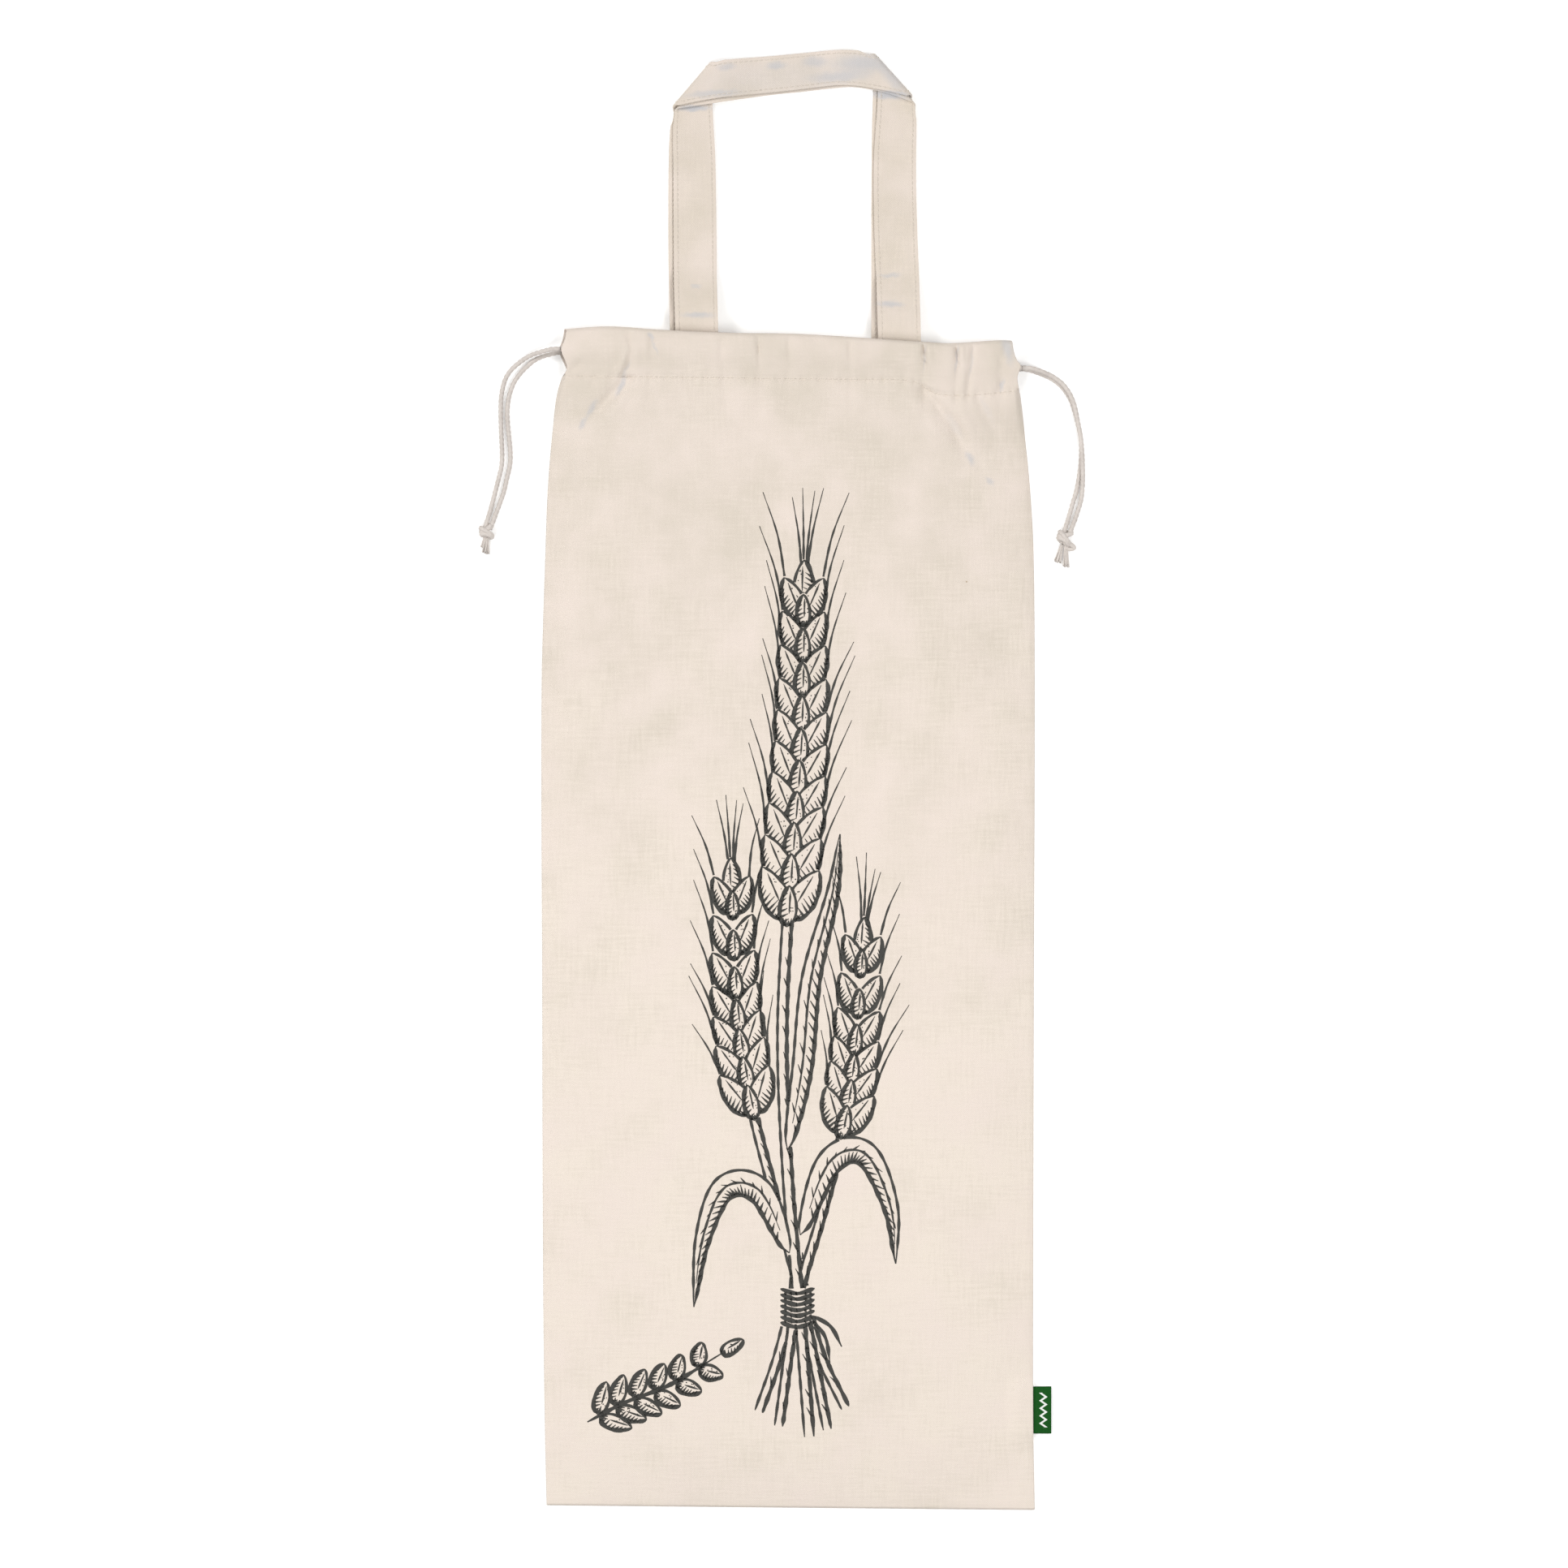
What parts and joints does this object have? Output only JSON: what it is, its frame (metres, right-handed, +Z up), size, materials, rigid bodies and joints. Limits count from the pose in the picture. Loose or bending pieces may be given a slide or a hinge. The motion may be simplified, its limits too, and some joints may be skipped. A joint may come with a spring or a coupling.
{
  "type": "baguette bread bag",
  "caption": "Long narrow cotton drawstring pouch for bread, lying flat on its back, with flat strap handles above its mouth and knotted cord ends at both sides.",
  "frame": {"origin": "on the surface that the bag lies on, under the middle of the bag with its handles", "axes": "+Z up from the surface, +Y from the bottom seam to the handles, +X to the side seam that holds the label"},
  "size_m": [0.3367, 0.8099, 0.018],
  "materials": {
    "cotton": "plain-woven unbleached cotton, matt",
    "strap": "folded and stitched cotton tape, matt",
    "cord": "soft twisted cotton cord, matt",
    "label": "woven polyester tape, slight sheen"
  },
  "bodies": {
    "root": {"front_panel": "cotton", "back_panel": "cotton", "handle_front": "strap", "handle_back": "strap", "drawcord_left": "cord", "drawcord_right": "cord", "cord_left_upper": "cord", "cord_left_lower": "cord", "cord_right_upper": "cord", "cord_right_lower": "cord", "knot_left": "cord", "knot_right": "cord", "side_label": "label"}
  },
  "joints": []
}
